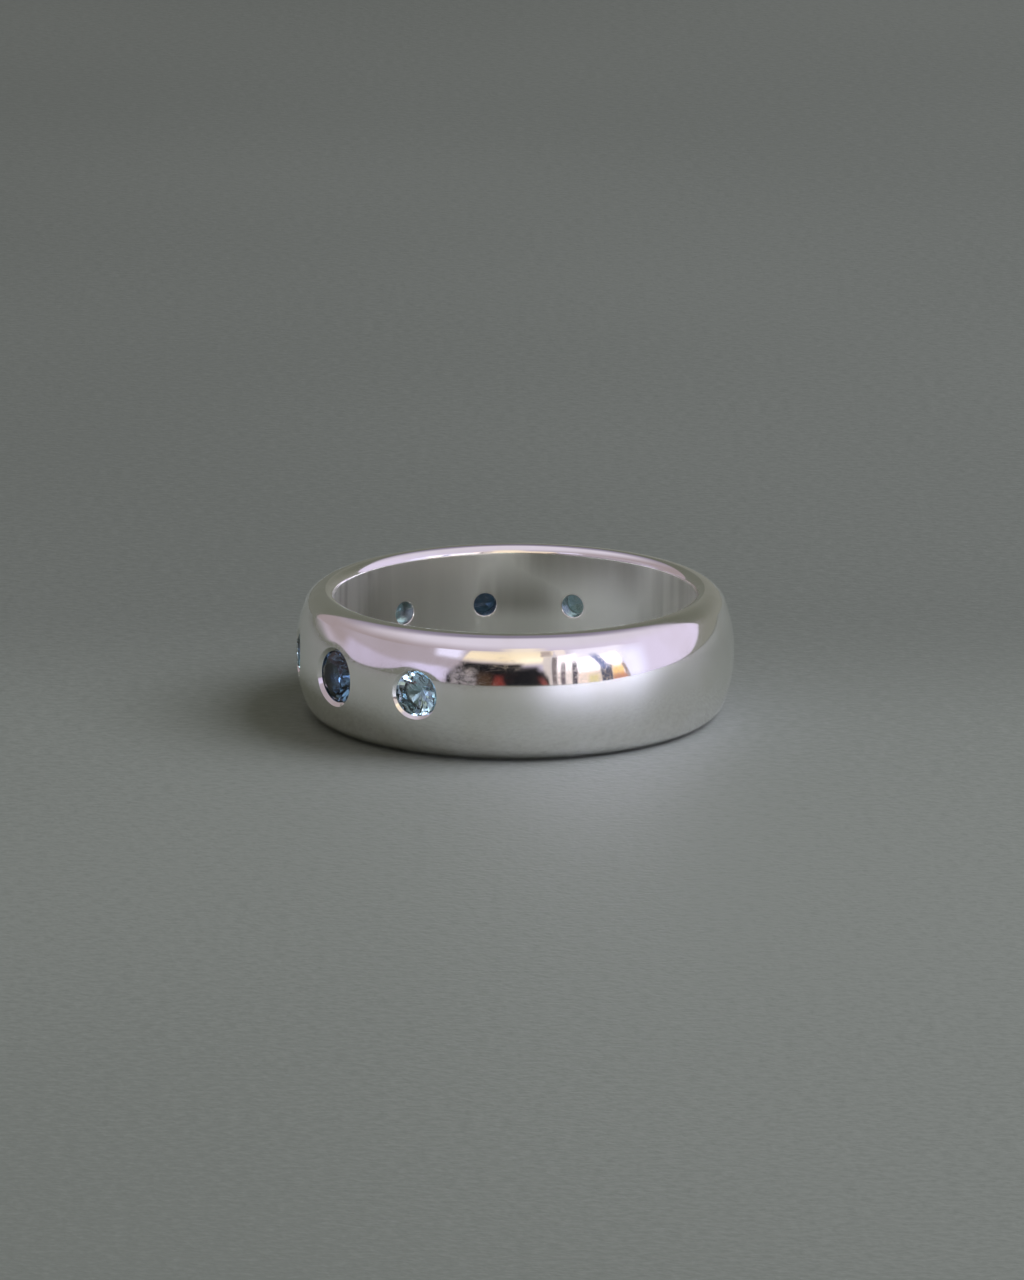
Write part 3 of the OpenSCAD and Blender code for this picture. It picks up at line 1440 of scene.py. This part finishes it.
@dataclass
class Studio:
    """The paper that the ring lies on, the daylight round it and the camera.

    Lights and papers are what the silver mirrors in each part of the room. Daylight and
    ceiling are brighter than what the silver shows of them, and only light that has met
    the ring or the paper on its way sees them. Soft light is what the paper gets. The
    edges of daylight are its two ends and the half width of its soft edges, in degrees.
    """

    paper: Paper = field(default_factory=Paper)
    floor_r: float = 3.0
    camera_elevation: float = 14.1
    camera_distance: float = 0.422
    camera_aim: tuple[float, float, float] = (0.0, 0.0, 0.003025)
    camera_shift: tuple[float, float] = (-0.0024, 0.0070)
    focal_mm: float = 247.5
    sensor_mm: float = 36.0
    left_paper: Colour = (0.165, 0.172, 0.150)
    right_paper: Colour = (0.235, 0.240, 0.212)
    high_paper: Colour = (0.140, 0.146, 0.120)
    left_light: Colour = (0.36, 0.30, 0.32)
    right_light: Colour = (0.76, 0.69, 0.89)
    high_light: Colour = (0.70, 0.65, 0.76)
    shadows: Colour = (0.012, 0.012, 0.014)
    ceiling: Colour = (2.6, 2.6, 2.5)
    daylight: Colour = (12.0, 12.1, 15.3)
    soft_light: Colour = (0.252, 0.252, 0.172)
    key_light: Colour = (1.0, 1.0, 1.12)
    key_watts: float = 2.30
    key_size: float = 0.33
    key_distance: float = 0.45
    key_azimuth: float = 90.0
    key_elevation: float = 46.0
    daylight_azimuth: tuple[float, float, float] = (16.0, 74.0, 14.0)
    daylight_elevation: tuple[float, float, float] = (-2.0, 24.0, 7.0)
    ceiling_rise: tuple[float, float] = (40.0, 65.0)
    back_turn: tuple[float, float] = (108.0, 132.0)
    later_depth: tuple[float, float] = (2.2, 2.8)
    calming: float = -0.5
    edge_blur: float = 1.4
    back_blur: float = 7.0
    wander_scale: float = 3.0
    wander_round: float = 4.0
    wander_up: float = -3.0
    mottle_scale: float = 20.0
    floor_gap: float = 0.002

    def floor(self) -> bpy.types.Object:
        """Lays a wide round sheet of paper just under the ring.

        Returns:
            The floor.
        """
        work = bmesh.new()
        middle = work.verts.new((0.0, 0.0, 0.0))
        sides = 64
        radii = (0.02, 0.05, 0.12, 0.3, 0.8, self.floor_r)
        rings = []
        for radius in radii:
            turns = 2 * math.pi * np.arange(sides) / sides
            rings.append([
                work.verts.new((radius * math.cos(t), radius * math.sin(t), 0.0)) for t in turns
            ])
        for k in range(sides):
            after = (k + 1) % sides
            work.faces.new((middle, rings[0][k], rings[0][after]))
            for inner, outer in zip(rings, rings[1:]):
                work.faces.new((inner[k], outer[k], outer[after], inner[after]))
        mesh = bpy.data.meshes.new("paper_floor")
        work.to_mesh(mesh)
        work.free()
        mesh.shade_smooth()
        mesh.materials.append(self.paper.material())
        floor = new_object("paper_floor", mesh)
        floor.location.z = -self.floor_gap * MM
        return floor

    def patches(self) -> list[Patch]:
        """Lists what stands in the room.

        Those that the paper's edge hides at the foot reach down past the horizon.

        Returns:
            The patches, each in front of those before it.
        """
        down = -9
        return [
            Patch((140, 400), (34, 70), (30, 8), (0.24, 0.215, 0.29)),
            Patch((-400, -140), (34, 70), (30, 8), (0.24, 0.215, 0.29)),
            Patch((-105, -30), (12, 24), (14, 2.5), (0.42, 0.365, 0.42)),
            Patch((-145, -98), (down, 6.5), (6, 2.5), (0.48, 0.42, 0.49)),
            Patch((-102, -36), (down, 11.5), (5, 2), (0.53, 0.47, 0.61)),
            Patch((-58, -36), (3, 12.5), (7, 2), (0.70, 0.64, 0.88)),
            Patch((-44, -29), (20.5, 28), (3, 2), (0.89, 0.85, 1.10)),
            Patch((-36.5, 10.5), (20, 28.5), (1.0, 3.2), (1.02, 0.86, 0.62), lean=-0.4),
            Patch((0, 19.5), (18, 24), (7, 3), (1.19, 1.055, 0.82)),
            Patch((-6, 16), (26, 46), (7, 5), (1.10, 0.95, 0.72), 0.7),
            Patch((14.5, 20), (23.5, 28.5), (0.8, 1), (0.50, 0.41, 0.38)),
            Patch((16, 20.4), (down, 24), (0.7, 2), (0.74, 0.66, 0.64)),
            Patch((22, 28), (24, 32), (0.8, 2), (0.98, 0.86, 0.84)),
            Patch((31, 62), (17, 28), (4, 6), (1.02, 0.97, 1.16)),
            Patch((58, 72), (-2, 20), (6, 6), (1.03, 1.02, 1.34)),
            Patch((-36.5, 18.0), (down, 7.5), (1.0, 2.5), self.shadows),
            Patch((-35, 16.6), (down, 11.5), (1.6, 2.5), self.shadows),
            Patch((-32.5, 13.8), (down, 15.2), (2.2, 2.2), self.shadows),
            Patch((-29.5, 4), (down, 18.6), (2.5, 1.6), self.shadows),
            Patch((-34, -20), (down, 12), (1.8, 3), (0.42, 0.38, 0.41), 0.9, mottled=True),
            Patch((-27, -21), (8, 14), (3, 2), (0.42, 0.36, 0.34), 0.6, mottled=True),
            Patch((-20, -12.5), (down, 10), (2, 4), (0.075, 0.045, 0.028), 0.9),
            Patch((-12.5, -8), (down, 7), (1.5, 4), (0.24, 0.055, 0.045), 0.9, lean=-0.25),
            Patch((-8, -4.5), (down, 7), (1.5, 4), (0.21, 0.040, 0.035), 0.9, lean=0.35),
            Patch((13.6, 17.0), (down, 5.5), (1.3, 3.5), (0.27, 0.080, 0.075), 0.9, lean=0.2),
            Patch((20, 34), (down, 24), (0.6, 1.5), (1.5, 1.4, 1.5)),
            Patch((34, 61.5), (down, 19.5), (0.8, 2), (1.8, 1.7, 1.9), lean=0.2),
            Patch((20, 33.5), (down, 11), (0.5, 4), (1.02, 0.90, 0.90)),
            Patch((33, 47), (down, 9), (0.8, 2.5), (1.05, 0.86, 0.80)),
            Patch((39, 44.5), (down, 6), (1.5, 3), (0.86, 0.74, 0.40)),
            Patch((46.0, 53), (down, 11.5), (0.8, 2.5), (0.10, 0.11, 0.17)),
            Patch((52.0, 56.5), (9, 21), (1.0, 2.5), (0.26, 0.30, 0.56), lean=0.5),
            Patch((52.8, 59.5), (down, 10), (0.6, 3), (1.25, 0.84, 0.40)),
            Patch((52.8, 61.5), (down, 3.5), (0.6, 2.5), (0.66, 0.29, 0.19)),
            Patch((61.0, 63.0), (down, 11), (0.7, 2), (0.36, 0.28, 0.27), lean=0.25),
            Patch((20.0, 22.8), (down, 24), (0.6, 2), (0.20, 0.17, 0.18)),
            Patch((24.7, 27.0), (down, 18), (0.6, 4), (0.16, 0.13, 0.16)),
            Patch((30.6, 33.4), (down, 18), (0.6, 4), (0.07, 0.06, 0.09)),
        ]

    def room(self) -> bpy.types.World:
        """Paints the room that the silver mirrors: soft daylight all round, windows at
        the right front, darker things at the front, and the paper's raised back.

        Returns:
            The world.
        """
        world = bpy.data.worlds.new("soft_daylight")
        bpy.context.scene.world = world
        world.use_nodes = True
        graph = NodeGraph(world.node_tree)
        ray = graph.add("ShaderNodeTexCoord").outputs["Generated"]
        parts = graph.add("ShaderNodeSeparateXYZ", {0: ray}).outputs
        degrees = 180.0 / math.pi
        front = graph.math("MULTIPLY", parts[1], -1.0)
        azimuth = graph.times(graph.math("ARCTAN2", parts[0], front), degrees)
        elevation = graph.times(graph.math("ARCSINE", parts[2]), degrees)
        path = graph.add("ShaderNodeLightPath").outputs

        side = graph.step(azimuth, -90.0, 90.0)
        seen = self.walls(graph, ray, azimuth, elevation, side)
        far_round = graph.step(graph.math("ABSOLUTE", azimuth), *self.back_turn)
        blur = graph.math("MULTIPLY_ADD", far_round, self.back_blur, self.edge_blur)
        rise = graph.math("SUBTRACT", elevation, self.paper_edge(graph, azimuth))
        paper = graph.mix(side, self.left_paper, self.right_paper)
        paper = graph.mix(graph.step(elevation, 0.0, 40.0), paper, self.high_paper)
        seen = graph.mix(graph.step(rise, 0.0, blur), paper, seen)

        matte_hits = path["Diffuse Depth"]
        calm = graph.math("MULTIPLY_ADD", matte_hits, self.calming, 1.0, clamp=True)
        later = graph.times(graph.step(path["Ray Depth"], *self.later_depth), calm)
        panes = graph.times(
            graph.window(azimuth, *self.daylight_azimuth),
            graph.window(elevation, *self.daylight_elevation),
            later,
        )
        seen = graph.mix(panes, seen, self.daylight)
        above = graph.times(graph.step(elevation, *self.ceiling_rise), later)
        seen = graph.mix(above, seen, self.ceiling)

        mirrored = graph.add("ShaderNodeBackground", {"Color": seen, "Strength": 1.0})
        matte = graph.add(
            "ShaderNodeBackground", {"Color": rgba(self.soft_light), "Strength": 1.0}
        )
        both = graph.add(
            "ShaderNodeMixShader",
            {0: path["Is Diffuse Ray"], 1: mirrored.outputs[0], 2: matte.outputs[0]},
        )
        graph.add("ShaderNodeOutputWorld", {"Surface": both.outputs[0]})
        world.cycles.sampling_method = "NONE"
        return world

    def walls(self, graph: NodeGraph, ray: Socket, azimuth: Socket, elevation: Socket,
              side: Socket) -> Socket:
        """Paints what stands round the paper, with edges that wander a little.

        Args:
            graph: The world's nodes.
            ray: Direction looked at.
            azimuth: Direction round the ring in degrees, 0 at the camera.
            elevation: Direction above the paper in degrees.
            side: 0 on the left and 1 on the right.

        Returns:
            The colour of the room above the paper.
        """
        light = graph.mix(side, self.left_light, self.right_light)
        light = graph.mix(graph.step(elevation, 25.0, 65.0), light, self.high_light)
        wander = graph.math("SUBTRACT", graph.noise(ray, self.wander_scale, 1.0, 0.5), 0.5)
        moved = graph.math("MULTIPLY_ADD", wander, self.wander_round, azimuth)
        raised = graph.math("MULTIPLY_ADD", wander, self.wander_up, elevation)
        mottle = graph.step(graph.noise(ray, self.mottle_scale, 3.0, 0.6), 0.28, 0.66)
        for patch in self.patches():
            light = patch.over(graph, light, moved, raised, mottle)
        return light

    def key(self) -> bpy.types.Object:
        """Hangs a large soft light at the right, left out of the reflections.

        Returns:
            The light.
        """
        data = bpy.data.lights.new("key", "AREA")
        data.energy = self.key_watts
        data.size = self.key_size
        data.color = self.key_light
        light = new_object("key", data)
        turn, rise = math.radians(self.key_azimuth), math.radians(self.key_elevation)
        away = Vector((
            math.sin(turn) * math.cos(rise), -math.cos(turn) * math.cos(rise), math.sin(rise)
        ))
        light.location = self.key_distance * away
        light.rotation_euler = away.to_track_quat("Z", "Y").to_euler()
        light.visible_camera = False
        light.visible_glossy = False
        light.visible_transmission = False
        return light

    def paper_edge(self, graph: NodeGraph, azimuth: Socket) -> Socket:
        """Height of the paper's far edge above the horizon, all the way round.

        Args:
            graph: The world's nodes.
            azimuth: Direction round the ring in degrees, 0 at the camera.

        Returns:
            The edge's elevation in degrees.
        """
        edge = (
            (-180, 40), (-165, 38), (-152, 34), (-144, 28), (-139.5, 19), (-138, 9),
            (-137, 0), (-125, 0), (-115, 1), (-108, 2.6), (-100, 1.2), (-92, 0), (-84, 0),
            (-76, 1), (-70, 2.6), (-62, 5), (-55, 6), (-49, 5.2), (-44, 3), (-39, 0), (0, 0),
            (104, 0), (109, 1.5), (115, 4), (119, 7), (121, 13), (123, 24), (127, 32),
            (135, 38), (150, 41), (180, 40),
        )
        place = graph.math("ADD", graph.math("DIVIDE", azimuth, 360.0), 0.5)
        node = graph.add("ShaderNodeFloatCurve", {"Value": place})
        curve = node.mapping.curves[0]
        points = [(a / 360.0 + 0.5, e / 90.0) for a, e in edge]
        curve.points[0].location = points[0]
        curve.points[1].location = points[-1]
        for point in points[1:-1]:
            curve.points.new(*point)
        node.mapping.update()
        return graph.times(node.outputs[0], 90.0)

    def camera(self) -> bpy.types.Object:
        """Stands the camera in front of the ring, a little above the paper.

        Returns:
            The camera.
        """
        data = bpy.data.cameras.new("camera")
        data.sensor_width = self.sensor_mm
        data.lens = self.focal_mm
        data.clip_start, data.clip_end = 0.01, 10.0
        data.shift_x, data.shift_y = self.camera_shift
        camera = new_object("camera", data)
        rise = math.radians(self.camera_elevation)
        back = Vector((0.0, -math.cos(rise), math.sin(rise)))
        camera.location = Vector(self.camera_aim) + self.camera_distance * back
        camera.rotation_euler = (math.pi / 2 - rise, 0.0, 0.0)
        bpy.context.scene.camera = camera
        return camera

    def tone(self) -> None:
        """Shows linear light as it is, with no tone curve."""
        settings = bpy.context.scene.view_settings
        settings.view_transform = "Standard"
        settings.look = "None"
        settings.exposure = 0.0
        settings.gamma = 1.0


def main() -> None:
    """Builds the ring on its frame, piece by piece, then the studio round it."""
    logging.basicConfig(level=logging.INFO, format="%(name)s: %(message)s")
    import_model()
    band = Band()
    made = [band.build()]
    glass = {hue: hue.finish.material() for hue in Hue}
    for setting in band.settings():
        made.append(Topaz(setting, glass[setting.hue]).build())
    for piece in made:
        LOG.info("%s: %d faces", piece.name, len(piece.data.polygons))
    studio = Studio()
    studio.floor()
    studio.room()
    studio.key()
    studio.camera()
    studio.tone()


if __name__ == "__main__":
    main()
